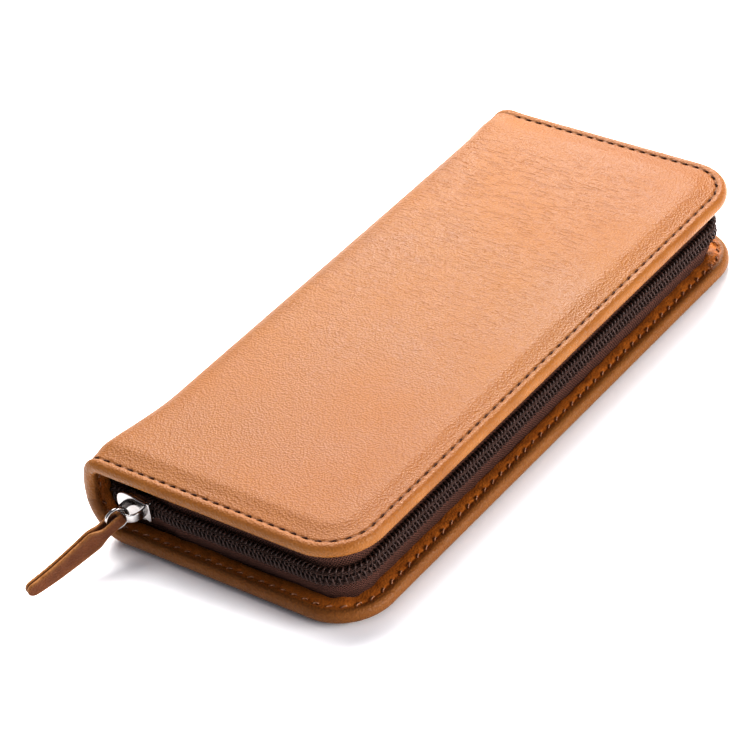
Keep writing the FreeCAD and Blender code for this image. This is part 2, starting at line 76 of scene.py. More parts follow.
CORNER = 13.5  # plan radius of the two rounded corners
PANEL_START = -25.0  # from this X on, the covers are flat
SEAM_INSET = 2.6
CROWN_INSET = 9.0  # where the pressed border runs out into the panel
HEM_INSET = 5.7
HEM_LEVEL = -4.4  # inner face of the lip, from the outer face of the panel
LEATHER = 1.3
LOWER_RIGHT_TRIM = 1.1  # the lower cover is cut slightly smaller
LOWER_NEAR_TRIM = 0.6
STITCHES = (23, 5, 42, 5, 23)  # on the near side, a corner, the right side, a corner and the far side
SAMPLES = 6  # border samples for each stitch
COARSE = 3  # border samples for each cell of the panel's grid
PANEL_ROWS = (STITCHES[0] * SAMPLES + STITCHES[1] * SAMPLES // 2) // COARSE
SLACK_LENGTH = 32.0  # stretch of the spine that bulges beside the slider
TIGHT_LENGTH = 16.0  # stretch at the spine's far end that is drawn in


def ease(t):
    t = np.clip(t, 0.0, 1.0)
    return t * t * (3 - 2 * t)


def wobble(a, b, scale, seed):
    """Smooth noise of about -1 to 1, the same each run."""
    total = 0.0
    for i in range(4):
        turn = seed * 1.7 + i * 2.4
        wave = scale * (1 + 0.63 * i)
        total = total + np.sin((a * math.cos(turn) + b * math.sin(turn)) / wave + seed * 3.1 + i)
    return total / 2.4


# ---- mesh helpers


def make_piece(name, points, faces, material, smooth=True):
    """A mesh object from points in millimetres."""
    mesh = bpy.data.meshes.new(name)
    mesh.from_pydata((np.asarray(points) * MM).tolist(), [], faces)
    mesh.validate()
    if smooth:
        mesh.polygons.foreach_set("use_smooth", [True] * len(mesh.polygons))
    piece = bpy.data.objects.new(name, mesh)
    bpy.context.scene.collection.objects.link(piece)
    mesh.materials.append(material)
    return piece


def add_attribute(piece, name, values):
    """A number or a vector for each point of a piece, for its material."""
    values = np.asarray(values, np.float32)
    kind, key = ("FLOAT", "value") if values.ndim == 1 else ("FLOAT_VECTOR", "vector")
    attribute = piece.data.attributes.new(name, kind, "POINT")
    attribute.data.foreach_set(key, values.ravel())


def grid_faces(rows, columns, start=0):
    """Quads over points that are numbered row by row."""
    faces = []
    for i in range(rows - 1):
        for j in range(columns - 1):
            a = start + i * columns + j
            faces.append((a, a + columns, a + columns + 1, a + 1))
    return faces


def ring_faces(rings, sides, closed_path=False):
    """Quads between neighbouring rings of `sides` points each."""
    faces = []
    for i in range(rings if closed_path else rings - 1):
        j = (i + 1) % rings
        for k in range(sides):
            m = (k + 1) % sides
            faces.append((i * sides + k, i * sides + m, j * sides + m, j * sides + k))
    if not closed_path:
        faces.append(tuple(range(sides))[::-1])
        faces.append(tuple((rings - 1) * sides + k for k in range(sides)))
    return faces


def unit(v):
    return v / np.linalg.norm(v, axis=-1, keepdims=True)


def path_frames(path, up):
    """Two directions across a path at each point, the second close to `up`."""
    along = unit(np.gradient(path, axis=0))
    side = unit(np.cross(along, up))
    return side, np.cross(side, along)


def tube(path, radius, up, sides=6, closed=False):
    """Points and faces of a round tube along a path."""
    path = np.asarray(path, float)
    if closed:
        wrapped = np.concatenate([path[-1:], path, path[:1]])
        side, over = (part[1:-1] for part in path_frames(wrapped, np.asarray(up, float)))
    else:
        side, over = path_frames(path, np.asarray(up, float))
    radius = np.broadcast_to(radius, (len(path),))
    angle = (np.arange(sides) / sides * 2 * math.pi)[None, :, None]
    ring = np.cos(angle) * side[:, None] + np.sin(angle) * over[:, None]
    points = (path[:, None] + ring * radius[:, None, None]).reshape(-1, 3)
    return points, ring_faces(len(path), sides, closed)


def joined(parts):
    """Many (points, faces) as one."""
    points, faces, start = [], [], 0
    for part_points, part_faces in parts:
        points.append(part_points)
        faces += [tuple(start + i for i in face) for face in part_faces]
        start += len(part_points)
    return np.concatenate(points), faces


# ---- the flat sheet and its border


def spine_shape(along, side):
    """How the soft spine is bowed at a place along it: outermost X, radius of the bow and of the bend."""
    along = np.asarray(along, float)
    near = 1 - ease((along + HALF_LENGTH) / SLACK_LENGTH)
    far = ease((along - HALF_LENGTH + TIGHT_LENGTH) / TIGHT_LENGTH)
    outermost = SPINE_X - 0.3 - 1.7 * near - 0.2 * far
    if side == "upper":
        return outermost, 34.0 - 4.0 * near, 10.5 - 4.2 * near - 2.0 * far
    return outermost, 30.0 - 15.0 * near, 8.5 - 0.5 * near


def spine_lengths(along, side):
    """The bow's turn, its length, the bend's length and the length to where the cover is flat."""
    outermost, bow, bend = spine_shape(along, side)
    turn = np.arcsin((CHAIN_Z - bend) / (bow - bend))
    bend_run = bend * (math.pi / 2 - turn)
    flat_x = outermost + bow * (1 - np.cos(turn)) + bend * np.cos(turn)
    return turn, bow * turn, bend_run, bow * turn + bend_run + PANEL_START - flat_x


SPINE_LENGTH = float(spine_lengths(0.0, "upper")[3])  # along the leather, mid-spine to the flat cover
SHEET_WIDTH = SPINE_LENGTH + RIGHT - PANEL_START


def wrap(across, along, level, side):
    """A point of the flat sheet, bent round the spine. `across` starts at the middle of the spine."""
    across, along, level = np.broadcast_arrays(*(np.asarray(v, float) for v in (across, along, level)))
    outermost, bow, bend = spine_shape(along, side)
    turn, bow_run, bend_run, length = spine_lengths(along, side)
    run = np.where(across < SPINE_LENGTH, across * length / SPINE_LENGTH, length + across - SPINE_LENGTH)
    bowed = np.clip(run, None, bow_run) / bow
    bent = bowed + np.clip((run - bow_run) / bend, 0, math.pi / 2 - turn)
    x = outermost + bow * (1 - np.cos(bowed)) + bend * (np.cos(bowed) - np.cos(bent))
    z = CHAIN_Z + bow * np.sin(bowed) + bend * (np.sin(bent) - np.sin(bowed))
    x = x + np.clip(run - bow_run - bend_run, 0, None) - level * np.cos(bent)
    z = z + level * np.sin(bent)
    y = along
    if side == "lower":
        z = THICK - z
        y = y + LOWER_NEAR_TRIM * ease(across / 25.0) * (0.5 - y / (2 * HALF_LENGTH))
    return np.stack([x, y, z], -1)


def sheet_width(side):
    return SHEET_WIDTH - (LOWER_RIGHT_TRIM if side == "lower" else 0.0)


def round_corners(run, start, straight, reach, radius):
    """Points round the near, right and far sides, and the outward direction at each.

    `run` goes from 0 to 5 over the near side, a corner, the right side, a corner and the far side.
    """
    stops = np.array([  # X and Y of the turn's centre, and quarter turns of the outward direction
        (start, -reach, -1),
        (straight, -reach, -1),
        (straight, -reach, 0),
        (straight, reach, 0),
        (straight, reach, 1),
        (start, reach, 1),
    ])
    x, y, quarters = (np.interp(run, range(len(stops)), column) for column in stops.T)
    angle = quarters * math.pi / 2
    outward = np.stack([np.cos(angle), np.sin(angle)], -1)
    return np.stack([x, y], -1) + outward * np.reshape(radius, (-1, 1)), outward


def border_samples():
    """Where each border sample is, as the number of its stretch plus the fraction along it."""
    parts = [i + np.arange(count * SAMPLES) / (count * SAMPLES) for i, count in enumerate(STITCHES)]
    return np.concatenate(parts + [[len(STITCHES)]])


BORDER = border_samples()


def border_line(inset, side):
    """The sheet's border drawn in by an inset, one point for each sample."""
    straight = sheet_width(side) - CORNER
    return round_corners(BORDER, 0.0, straight, HALF_LENGTH - CORNER, CORNER - inset)[0]


def lip_section():
    """(inset, level, pit) of the leather's section, from the panel over the bead to the turned hem; the
    pit dents the seam and sets the painted shade there.
    """
    section = []
    for inset in np.linspace(7.8, 3.25, 9):
        section.append((inset, -0.95 * ease((CROWN_INSET - inset) / 6.0), 0.0))
    groove = [(0.45, -1.0, 0.1), (0.22, -1.1, 0.7), (0.0, -1.16, 1.0)]
    groove += [(-0.22, -1.1, 0.7), (-0.42, -0.98, 0.1)]
    section += [(SEAM_INSET + offset, level, pit) for offset, level, pit in groove]
    for turn in np.radians(np.linspace(62, 266, 15)):
        section.append((1.55 + 1.55 * math.cos(turn), -2.6 + 1.8 * math.sin(turn), 0.0))
    for offset, level, pit in ((-0.3, -4.32, 0.4), (0.0, -4.2, 1.0), (0.3, -4.3, 0.4)):
        section.append((SEAM_INSET + offset, level, pit))
    section += [(3.4, -4.4, 0.0), (4.1, -4.44, 0.0), (4.8, -4.42, 0.0), (5.4, HEM_LEVEL, 0.0)]
    section += [(HEM_INSET, -4.28, 0.0), (HEM_INSET + 0.06, -3.9, 0.0), (HEM_INSET, -3.45, 0.0)]
    section += [(4.6, -3.35, 0.0), (2.4, -3.3, 0.0), (2.2, -2.6, 0.0), (4.5, -2.2, 0.0), (7.8, -1.5, 0.0)]
    return section


def stitch_phase():
    """Distance of each sample from the nearest hole, in samples."""
    phase = np.arange(len(BORDER)) % SAMPLES
    return np.minimum(phase, SAMPLES - phase)


def hem_waves(side):
    """How far the hand-cut hem strays from its line, at each sample."""
    index = np.arange(len(BORDER)) * 0.55
    seed = 3 if side == "lower" else 8
    fine = wobble(index, 0.0, 1.6, seed)
    slow = wobble(index, 0.0, 9.0, seed + 2)
    return 0.2 * fine + 0.3 * slow


def corner_share():
    """1 on the rounded corners, 0 well away from them, at each border sample."""
    corner = np.isin(BORDER.astype(int), (1, 3)).astype(float)
    reach = 12
    return np.convolve(np.pad(corner, reach), np.hanning(2 * reach + 1) / reach, "valid")


def crinkle(inset, side):
    """Small folds across the turned hem, strongest at the corners, at each border sample."""
    index = np.arange(len(BORDER)) * 0.55
    seed = 6 if side == "lower" else 13
    folds = wobble(index, inset * 0.9, 0.75, seed)
    return folds * (0.14 + 0.2 * corner_share())


def panel_level(across, along, side):
    """Soft rise and fall of the panel, zero at its border and at the middle of the spine."""
    seed = 5 if side == "upper" else 11
    inner = ease(np.minimum(HALF_LENGTH - np.abs(along), sheet_width(side) - across) / 22.0)
    inner = inner * ease(across / 14.0)
    low = 0.10 if side == "lower" else 0.24
    return inner * low * (wobble(across, along, 17.0, seed) - 0.2)


def pulled_smooth(line):
    """1 at the far end of the spine, where the leather is drawn tight over the end of the lip."""
    return (BORDER >= 4) * (1 - ease((line[:, 0] - 10.0) / 12.0))


def cover_leather(side, material):
    """One half of the leather: a cover with its lip and hem, the bend and half of the spine."""
    section = lip_section()
    phase = stitch_phase()
    stray = hem_waves(side)
    hole_shade_marks, lines = [], []
    for inset, level, pit in section:
        on_hem = 1.0 if level < -4.1 and inset > 1.6 else 0.0
        wavy = ease((inset - 3.6) / 2.0) if level < -3.2 else 0.0
        line = border_line(inset + wavy * stray, side)
        near_seam = max(pit, 0.3 if 1.9 < inset < 3.4 else 0.0)
        tight = pulled_smooth(line) * (level > -1.25)
        pucker = near_seam * np.choose(phase, (0.12, 0.30, 0.10, 0.0)) * (1 - tight)
        lift = on_hem * crinkle(inset, side) + (pucker * 0.8 if on_hem else -pucker)
        lines.append(wrap(line[:, 0], line[:, 1], level * (1 - 0.6 * tight) + lift, side))
        # Painted shade: the leather's colour darkens at each stitch hole and along the seam's furrow, less
        # on the hem and where the leather is drawn tight.
        share = 0.25 if on_hem else 1.0 - tight
        hole_shade_marks.append(pit**2 * np.choose(phase, (0.7, 1.0, 0.6, 0.5)) * share)
    count = len(BORDER)
    border = np.concatenate(lines)
    faces = grid_faces(len(section), count)
    outer_grid, outer_faces, outer_rim = panel_grid(side, 0.0, len(border))
    inner_grid, inner_faces, inner_rim = panel_grid(side, -LEATHER, len(border) + len(outer_grid))
    faces += outer_faces + [face[::-1] for face in inner_faces]
    last = (len(section) - 1) * count
    faces += rim_faces(outer_rim, 0) + [face[::-1] for face in rim_faces(inner_rim, last)]
    faces += end_caps(outer_rim, inner_rim, len(section), count)
    points = np.concatenate([border, outer_grid, inner_grid])
    piece = make_piece(f"{side}_cover_leather", points, faces, material)
    mark_leather(piece, side, section, np.concatenate(hole_shade_marks))
    if side == "lower":
        piece.data.flip_normals()
    piece.data.set_sharp_from_angle(angle=math.radians(60))
    return piece


def mark_leather(piece, side, section, painted_hole_shade):
    """Marks for the leather's material: painted shade at each stitch hole and along the seam's furrow, the
    turned hem, and the burnished bead, whose tone is kept weaker on the lower cover as painted shade.
    """
    # Full bead tone on the upper cover; the lower cover's 0.3 keeps its bead nearer the darker body colour
    # as painted shade, and less glossy.
    gloss_and_painted_shade = 1.0 if side == "upper" else 0.3
    hems, beads = [], []
    for inset, level, _ in section:
        hems.append(1.0 if level < -3.2 and inset > 1.6 else 0.0)
        on_bead = inset < 2.3 and level > -4.3
        beads.append(gloss_and_painted_shade * ease(-(level + 0.7) / 1.2) if on_bead else 0.0)
    rest = np.zeros(len(piece.data.vertices) - len(painted_hole_shade))
    marks = {"hole": painted_hole_shade, "hem": np.repeat(hems, len(BORDER)), "bead": np.repeat(beads, len(BORDER))}
    for name, values in marks.items():
        add_attribute(piece, name, np.concatenate([values, rest]))


def panel_grid(side, level, start):
    """A grid over the panel whose rim meets every third border sample, and the rim's point numbers."""
    line = border_line(CROWN_INSET, side)[::COARSE]
    near = PANEL_ROWS
    right = len(line) - 1 - 2 * near
    bottom, edge, top = line[: near + 1], line[near : near + right + 1], line[near + right :][::-1]
    s = np.linspace(0, 1, near + 1)[:, None, None]
    t = np.linspace(0, 1, right + 1)[None, :, None]
    left = bottom[0] + (top[0] - bottom[0]) * t
    flat = (1 - t) * bottom[:, None] + t * top[:, None] + (1 - s) * left + s * edge[None]
    flat = flat - (1 - s) * ((1 - t) * bottom[0] + t * top[0]) - s * ((1 - t) * edge[0] + t * edge[-1])
    across, along = flat[..., 0], flat[..., 1]
    rise = panel_level(across, along, side) if level == 0 else 0.0
    points = wrap(across, along, level + rise, side).reshape(-1, 3)
    columns = right + 1
    number = start + np.arange(len(points)).reshape(-1, columns)
    rim = np.concatenate([number[:, 0], number[-1, 1:], number[-2::-1, -1]]).tolist()
    return points, grid_faces(near + 1, columns, start), rim


def rim_faces(rim, start):
    """Cells between the panel grid's rim and the finer border line that begins at `start`."""
    faces = []
    for j in range(len(rim) - 1):
        fine = [start + j * COARSE + k for k in range(COARSE + 1)]
        faces.append(tuple([rim[j]] + fine + [rim[j + 1]]))
    return faces


def end_caps(outer_rim, inner_rim, rows, count):
    """The cut through the middle of the spine, where the two halves of the leather meet."""
    first = [outer_rim[0]] + [k * count for k in range(rows)] + [inner_rim[0]]
    last = [outer_rim[-1]] + [k * count + count - 1 for k in range(rows)] + [inner_rim[-1]]
    right = len(outer_rim) - 1 - 2 * PANEL_ROWS
    outer, inner = outer_rim[0], inner_rim[0]
    caps = [tuple(first[::-1]), tuple(last)]
    caps += [(outer + j, outer + j + 1, inner + j + 1, inner + j) for j in range(right)]
    return caps


def stitch_path(line, inner, middle, half, slant, level, dip, side):
    """One stitch around the border sample `middle`, its ends going down into the leather."""
    t = np.linspace(-1.0, 1.0, 9)
    index = middle + t * half
    samples = np.arange(len(BORDER))
    place = np.stack([np.interp(index, samples, line[:, k]) for k in (0, 1)], -1)
    shifted = np.stack([np.interp(index, samples, inner[:, k]) for k in (0, 1)], -1)
    place = place + (shifted - place) * (slant * t)[:, None]
    return wrap(place[:, 0], place[:, 1], level + dip * np.abs(t) ** 5, side)


def stitch_row(side, level, dip, radius, half, slant):
    """A row of stitches. `half` is half of one stitch's length, in border samples."""
    line = border_line(SEAM_INSET, side)
    inner = border_line(SEAM_INSET + 1.0, side)
    parts = []
    for middle in range(SAMPLES, len(BORDER) - 1, SAMPLES):
        path = stitch_path(line, inner, middle, half, slant, level, dip, side)
        parts.append(tube(path, radius, (0.1, 0.2, 1.0), sides=6))
    return parts


SEAM_ROWS = {
    "seam": {"level": -1.12, "dip": -0.45, "radius": 0.22, "half": 1.05, "slant": 0.30},
    "hem": {"level": -4.43, "dip": 0.5, "radius": 0.19, "half": 1.25, "slant": 0.34},
}


def seam_stitches(side, row, material):
    """The needle thread in the seam's furrow, or the bobbin thread on the hem."""
    parts = stitch_row(side, **SEAM_ROWS[row])
    return make_piece(f"{side}_{row}_stitches", *joined(parts), material)


# ---- zip


TAPE_FACE = 4.9  # inset of the tape's outer face at the chain
TAPE_THICK = 0.5
COIL_PITCH = 1.25
COIL_WIRE = 0.23
COIL_TURN_SAMPLES = 12
COIL_MIDDLE = 1.05  # of each coil, from the chain's middle
COIL_HALF_HEIGHT = 1.3
COIL_HALF_DEPTH = 0.68
CHAIN_START = -34.6
RECESS = 0.9  # how much deeper the chain lies beside the spine
RECESS_X = (-24.0, -15.0)


def zip_route(inset, count):
    """`count` points round the three zip sides and the outward direction at each."""
    radius = CORNER - inset
    bend_x, reach = RIGHT - LOWER_RIGHT_TRIM / 2 - CORNER, HALF_LENGTH - CORNER
    side_run, quarter = bend_x - CHAIN_START, radius * math.pi / 2
    stops = np.cumsum([0, side_run, quarter, 2 * reach, quarter, side_run])
    run = np.interp(np.linspace(0, stops[-1], count), stops, range(len(stops)))
    places, outward = round_corners(run, CHAIN_START, bend_x, reach, radius)
    deeper = RECESS * (1 - ease((places[:, 0] - RECESS_X[0]) / (RECESS_X[1] - RECESS_X[0])))
    return places - outward * deeper[:, None], outward


def zip_length():
    radius = CORNER - TAPE_FACE
    return 2 * (RIGHT - CORNER - CHAIN_START) + math.pi * radius + 2 * (HALF_LENGTH - CORNER)


def mirrored(z, side):
    return z if side == "lower" else THICK - z


def tape_section():
    """(inset, height) round the tape: from inside the lip, past the hem and up to the chain, and back."""
    outer = [(3.0, 3.15), (5.3, 3.15), (5.9, 3.45), (6.1, 4.0), (6.1, 4.8), (5.8, 5.7), (5.3, 6.8)]
    outer += [(4.9, 7.8), (4.7, 8.6), (4.8, 9.2), (5.0, 9.7)]
    outer += [(TAPE_FACE, 10.3), (TAPE_FACE, CHAIN_Z - 0.12)]
    outer = np.array(outer)
    along = unit(np.gradient(outer, axis=0))
    inner = outer + TAPE_THICK * np.stack([along[:, 1], -along[:, 0]], -1)
    return [tuple(point) for point in np.concatenate([outer, inner[::-1]])]


TAPE_CORNERS = (0.255, 0.745)  # share of the zip's length at the middle of each corner
TAPE_RIDGES = {  # height, spread and rise of each fold at the corners
    "upper": ((6.6, 0.5, 0.5), (8.2, 0.5, 0.8), (9.3, 0.35, -0.3)),
    "lower": ((7.0, 0.9, 0.35),),
}


def tape_folds(at, z, side):
    """How far the tape stands out of its plain section: ripples, and folds that gather at the corners."""
    seed = 4 if side == "lower" else 9
    ripple = 0.14 * wobble(at, z, 6.0, seed)
    corners = sum(np.exp(-(((at - at[-1] * share) / 17.0) ** 2)) for share in TAPE_CORNERS)
    fold = 0.0
    for place, spread, rise in TAPE_RIDGES[side]:
        fold += rise * math.exp(-(((z - place) / spread) ** 2))
    return (ripple * (1 - ease((z - 9.0) / 1.0)) + fold * corners) * ease((z - 4.6) / 1.4)


def zip_tape(side, material):
    section = tape_section()
    count = int(zip_length() / 0.8)
    at = np.linspace(0, zip_length(), count)
    points = np.zeros((count, len(section), 3))
    cloth = np.zeros((count, len(section), 3))
    drop = np.concatenate([[0], np.cumsum(np.linalg.norm(np.diff(section, axis=0), axis=1))])
    for k, (inset, z) in enumerate(section):
        line, outward = zip_route(inset, count)
        points[:, k, :2] = line + outward * tape_folds(at, z, side)[:, None]
        points[:, k, 2] = mirrored(z, side)
        cloth[:, k, 0] = at
        cloth[:, k, 1] = drop[k]
    faces = ring_faces(count, len(section))
    piece = make_piece(f"{side}_woven_tape", points.reshape(-1, 3), faces, material)
    add_attribute(piece, "cloth", cloth.reshape(-1, 3))
    if side == "upper":
        piece.data.flip_normals()
    return piece


def squared(value, power=0.72):
    """A sine or cosine with flatter crests."""
    return np.sign(value) * np.abs(value) ** power


def chain_path(count, out, height, side):
    """`count` points along the chain: how far out of the tape's face, and how high over the table."""
    route, outward = zip_route(TAPE_FACE, count)
    path = np.zeros((count, 3))
    path[:, :2] = route + outward * out[:, None]
    path[:, 2] = mirrored(height, side)
    return path


def zip_coil(side, material):
    """The wound nylon filament of one half of the chain."""
    turns = int(zip_length() / COIL_PITCH)
    count = turns * COIL_TURN_SAMPLES + 1
    angle = np.arange(count) / COIL_TURN_SAMPLES * 2 * math.pi + (math.pi if side == "upper" else 0.0)
    height = COIL_HALF_HEIGHT * squared(np.cos(angle)) - COIL_MIDDLE
    out = 1.0 + COIL_HALF_DEPTH * squared(np.sin(angle))
    path = chain_path(count, out, CHAIN_Z + height, side)
    points, faces = tube(path, COIL_WIRE, (0.13, 0.21, 1.0), sides=6)
    return make_piece(f"{side}_nylon_coil", points, faces, material)


def coil_stitching(side, material):
    """The thread that sews the coil to the tape, passing over each turn, and the cord inside the coil."""
    count = int(zip_length() / COIL_PITCH) * 6 + 1
    hop = 0.5 + 0.5 * np.cos(np.arange(count) / 6 * 2 * math.pi)
    parts = []
    rows = [(COIL_MIDDLE + offset, 1.55 + 0.42 * hop, 0.14) for offset in (0.1, 0.55)]
    rows += [(COIL_MIDDLE + offset, np.ones(count), 0.40) for offset in (-0.45, 0.3)]
    for level, out, radius in rows:
        path = chain_path(count, out, CHAIN_Z - level, side)
        parts.append(tube(path, radius, (0, 0, 1), sides=5))
    return make_piece(f"{side}_coil_stitching", *joined(parts), material)


# ---- slider, ring and pull


SLIDER_MIDDLE = (SLIDER_LOW + SLIDER_HIGH) / 2
PLATE_FRONT = SLIDER_LOW[1] + 1.1  # Y of the front plate's face
PLATE_THICK = 0.8
BAR_SIDES = 16


def smooth_loop(corners, steps=6):
    """A closed Catmull-Rom curve through corners."""
    points = np.asarray(corners, float)[:, None]
    a, b, c, d = (np.roll(points, shift, axis=0) for shift in (1, 0, -1, -2))
    t = (np.arange(steps) / steps)[None, :, None]
    bent = (2 * a - 5 * b + 4 * c - d) * t**2 + (3 * b - a - 3 * c + d) * t**3
    return (0.5 * (2 * b + (c - a) * t + bent)).reshape(-1, 2)


def rounded_slab(outline, front, back, rounding, dish=0.0):
    """A plate in the XZ plane between two Y values, its rim rounded; the front may be dished outwards."""
    middle = outline.mean(0)
    arm = outline - middle
    size = np.linalg.norm(arm, axis=1, keepdims=True)
    turn = np.radians(np.linspace(90, 0, 5))
    rings = list(zip(rounding * (1 - np.cos(turn)), front + rounding * (1 - np.sin(turn))))
    rings += [(inset, front + back - y) for inset, y in rings[::-1]]
    points = [np.array([[middle[0], front - dish, middle[1]]])]
    for share in (0.25, 0.5, 0.75):
        flat = middle + arm * share * (1 - rounding / size)
        points.append(np.insert(flat, 1, front - dish * (1 - share**2), axis=1))
    for inset, y in rings:
        points.append(np.insert(middle + arm * (1 - inset / size), 1, y, axis=1))
    points.append(np.array([[middle[0], back, middle[1]]]))
    sides = len(outline)
    faces = [(0, 1 + k, 1 + (k + 1) % sides) for k in range(sides)]
    for i in range(len(points) - 3):
        start = 1 + i * sides
        for k in range(sides):
            m = (k + 1) % sides
            faces.append((start + k, start + sides + k, start + sides + m, start + m))
    last = 1 + (len(points) - 3) * sides
    faces += [(last + (k + 1) % sides, last + k, last + sides) for k in range(sides)]
    return np.concatenate(points), faces


def swept_bar(path, half_width, half_thick, width_direction, rounding=0.35):
    """A flat bar with rounded edges along a path."""
    path = np.asarray(path, float)
    along = unit(np.gradient(path, axis=0))
    wide = np.broadcast_to(np.asarray(width_direction, float), path.shape)
    thick = unit(np.cross(along, wide))
    half_width = np.broadcast_to(half_width, (len(path),))[:, None, None]
    half_thick = np.broadcast_to(half_thick, (len(path),))[:, None, None]
    angle = np.arange(BAR_SIDES) / BAR_SIDES * 2 * math.pi
    across = squared(np.cos(angle), rounding)[None, :, None] * wide[:, None] * half_width
    through = squared(np.sin(angle), rounding)[None, :, None] * thick[:, None] * half_thick
    return (path[:, None] + across + through).reshape(-1, 3), ring_faces(len(path), BAR_SIDES)


def slider_shell(material):
    """The slider's two plates, their turned edges and the blade between."""
    x0, z0 = SLIDER_MIDDLE[0] - 0.5, CHAIN_Z
    half = (SLIDER_HIGH[0] - SLIDER_LOW[0]) / 2
    upper = [(-half, 0.9), (-0.86 * half, 2.5), (-0.5 * half, 3.45), (-0.05 * half, 3.35)]
    upper += [(0.4 * half, 2.75), (0.8 * half, 2.5), (half, 2.3)]
    corners = upper + [(x, -z) for x, z in upper[::-1]]
    outline = smooth_loop(corners) + (x0, z0)
    plates = [rounded_slab(outline, PLATE_FRONT, PLATE_FRONT + PLATE_THICK, 0.3, dish=0.25)]
    back = SLIDER_HIGH[1]
    plates.append(rounded_slab(outline, back - PLATE_THICK, back, 0.3))
    flange_y = PLATE_FRONT + PLATE_THICK + 0.5
    for sign in (-1, 1):
        xs = np.linspace(-0.35 * half, 0.96 * half, 10)
        zs = sign * np.interp(xs, [x for x, _ in upper], [z for _, z in upper])
        path = np.stack([x0 + xs, np.full(10, flange_y), z0 + zs - sign * 0.25], -1)
        plates.append(swept_bar(path, 0.75, 0.27, (0, 1, 0)))
    blade = [(x0 - half + 0.4 + 0.3 * i, (PLATE_FRONT + back) / 2, z0) for i in range(8)]
    plates.append(swept_bar(blade, (back - PLATE_FRONT) / 2 - 0.3, 0.3, (0, 1, 0)))
    return make_piece("slider_shell", *joined(plates), material)


def slider_arch(material):
    """The bridge over the slider's front, which holds the ring."""
    low, high = corners_mm("slider_bridge")
    middle, reach = (low[0] + high[0]) / 2, (high[0] - low[0]) / 2 - 0.35
    angle = np.radians(np.linspace(-8, 188, 25))
    arch = np.zeros((25, 3))
    arch[:, 0] = middle - reach * squared(np.cos(angle), 0.8)
    arch[:, 1] = PLATE_FRONT + 0.1 - (PLATE_FRONT - low[1] - 0.25) * squared(np.sin(angle), 0.7)
    arch[:, 2] = CHAIN_Z
    return make_piece("slider_arch", *swept_bar(arch, 1.15, 0.34, (0, 0, 1), 0.6), material)


def pull_frame():
    """The ring's middle, the level direction along the pull and the direction across it."""
    joint = JOINTS["strap_lift"]
    axis = np.array(joint["axis"], float)
    along = np.array([-axis[1], axis[0], 0.0])
    return np.array(joint["pos_m"]) / MM, along / np.linalg.norm(along), axis


RING_RADIUS = 2.65
RING_WIRE = 0.42


def pull_ring(material):
    middle, along, _ = pull_frame()
    angle = np.arange(48) / 48 * 2 * math.pi
    spokes = np.cos(angle)[:, None] * along + np.sin(angle)[:, None] * np.array([0, 0, 1.0])
    across = unit(np.array([along[1], -along[0], 0.02]))
    wire = tube(middle + RING_RADIUS * spokes, RING_WIRE, across, sides=12, closed=True)
    return make_piece("wire_ring", *wire, material)


STRAP_REACH = 24.6  # level distance from the ring's middle to the tip
LAYER_HALF = 0.56  # half the thickness of one layer of the pull
LAYER_PLACE = 0.62  # of each layer's middle from the middle of the pull, where the layers lie together
DROOP = 0.5  # slope of the pull as it leaves the ring
DROOP_EASE = 0.0043  # how it levels out towards the tip


def strap_height(reach):
    """Half the height of the pull: narrow in the ring, widest just past it, slimmer at the tip."""
    widen = 1.35 + 1.3 * ease((reach - 3.2) / 3.6)
    taper = 1 - 0.42 * np.clip((reach - 7.0) / (STRAP_REACH - 7.0), 0, 1)
    end = np.sqrt(np.clip(1 - np.clip((reach - STRAP_REACH + 1.7) / 1.75, 0, 1) ** 2, 0.03, 1))
    return widen * taper * end


def leather_pull(material):
    """A strip of leather folded double round the ring, its two layers lying together to the tip."""
    middle, along, across = pull_frame()
    reach = np.concatenate([np.linspace(STRAP_REACH, 7.0, 40), np.linspace(6.6, 0.0, 22)])
    gap = LAYER_PLACE * (2 - ease((reach - 3.0) / 3.8))
    turn = np.radians(np.linspace(80, 0, 7)[1:])
    reach = np.concatenate([reach, -1.1 * np.cos(turn)])
    gap = np.concatenate([gap, 2 * LAYER_PLACE * np.sin(turn)])
    reach = np.concatenate([reach, reach[-2::-1]])
    gap = np.concatenate([gap, -gap[-2::-1]])
    sway = 0.10 * np.sin(reach / 4.0)
    path = middle + reach[:, None] * along + (gap + sway)[:, None] * across
    past_ring = np.clip(reach, 0, None)
    path[:, 2] += DROOP_EASE * past_ring**2 - DROOP * past_ring
    slope = 2 * DROOP_EASE * past_ring - DROOP
    tall = unit(np.stack([-slope * along[0], -slope * along[1], np.ones(len(reach))], -1))
    points, faces = swept_bar(path, strap_height(past_ring), LAYER_HALF, tall, 0.55)
    piece = make_piece("leather_pull", points, faces, material)
    ring = np.arange(BAR_SIDES) / BAR_SIDES * 2 * math.pi
    add_attribute(piece, "cut_edge", np.tile(np.abs(np.cos(ring)) ** 3, len(path)))
    return piece


# ---- fittings inside


CLOTH_SWELL = 0.25
CLOTH_STEP = 1.6
CLOTH_BOW = 26.0  # radius of the spine's cloth, across the spine


